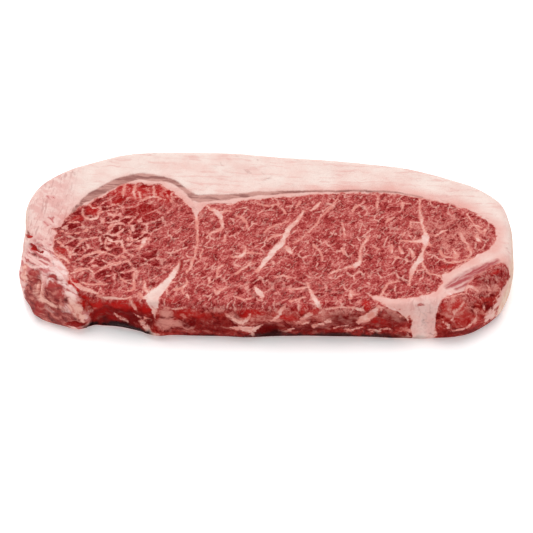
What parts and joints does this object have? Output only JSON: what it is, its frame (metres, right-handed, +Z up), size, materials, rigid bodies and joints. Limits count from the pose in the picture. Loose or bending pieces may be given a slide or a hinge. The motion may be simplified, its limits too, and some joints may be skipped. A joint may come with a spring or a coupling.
{
  "type": "raw beef striploin steak",
  "caption": "Thick raw beef striploin steak lying on its cut face, with a marbled lean muscle, a small tail muscle and a wide band of fat along one edge.",
  "frame": {"origin": "under the middle of the steak, on the surface it lies on", "axes": "+X along the steak to its tail end, +Y to the fat cap, +Z up through the thickness"},
  "size_m": [0.2382, 0.1068, 0.0243],
  "materials": {
    "lean_beef": "moist, finely grained raw lean meat with pale marbling",
    "beef_fat": "smooth firm raw fat, cream with a pink tinge"
  },
  "bodies": {
    "root": {"loin_muscle": "lean_beef", "tail_muscle": "lean_beef", "fat_cap": "beef_fat"}
  },
  "joints": []
}
